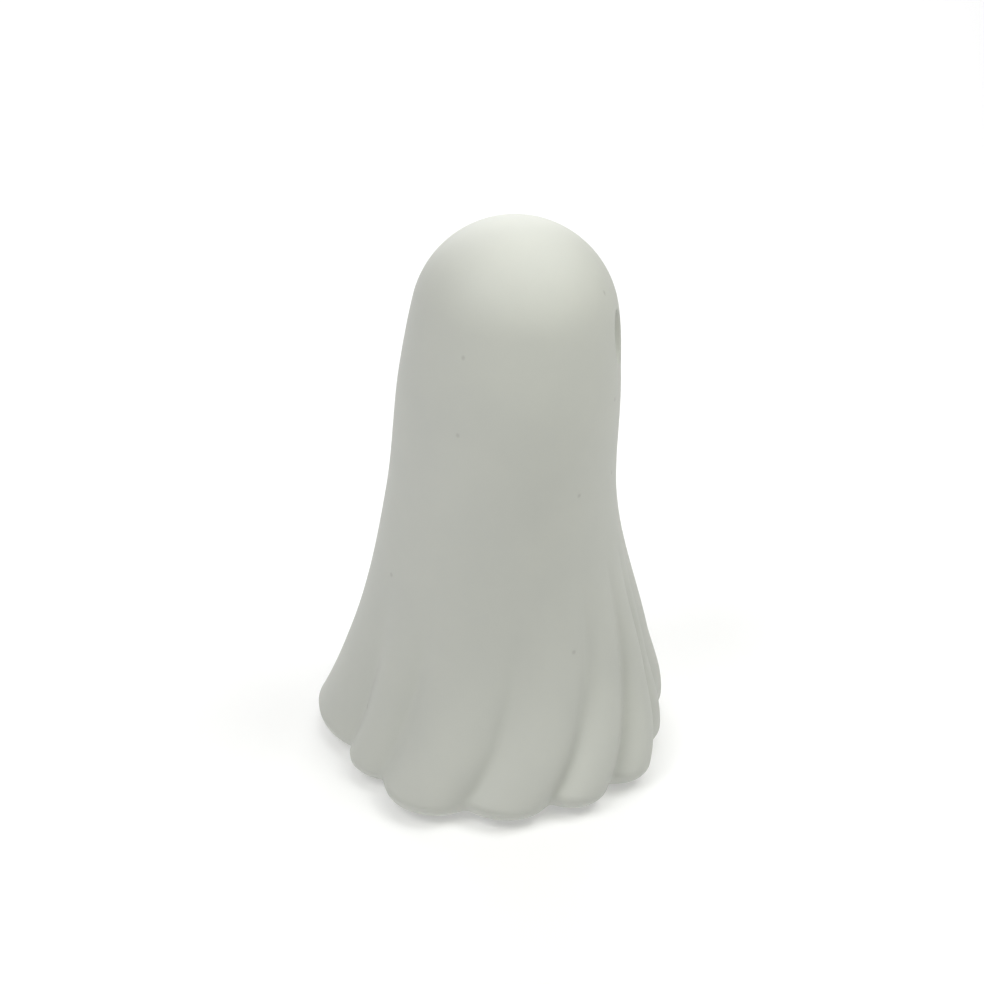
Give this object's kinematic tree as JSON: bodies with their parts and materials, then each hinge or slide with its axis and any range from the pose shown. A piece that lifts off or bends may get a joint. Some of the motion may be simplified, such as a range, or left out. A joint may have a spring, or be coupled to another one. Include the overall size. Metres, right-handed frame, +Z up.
{
  "type": "ceramic ghost figure",
  "caption": "Hollow slip-cast ceramic ghost under a draped sheet, with a pleated hem and pressed oval eyes. It stands on felt pads, and a stopper pulls out of its pour hole.",
  "frame": {"origin": "centre of the standing figure's box at table level, under the felt pads", "axes": "+Z up, face towards -Y, mirror plane YZ"},
  "size_m": [0.0788, 0.0754, 0.115],
  "materials": {
    "bisque": "matt unglazed white bisque",
    "stopper": "satin soft moulding",
    "felt": "pressed wool felt"
  },
  "bodies": {
    "figure": {"ghost_shell": "bisque", "felt_pad_1": "felt", "felt_pad_2": "felt", "felt_pad_3": "felt", "felt_pad_4": "felt"},
    "stopper": {"pour_stopper": "stopper"}
  },
  "joints": [
    {"name": "stopper_pull", "type": "slide", "parent": "figure", "child": "stopper", "axis": [0, 0, -1], "range_m": [0, 0.012]}
  ]
}
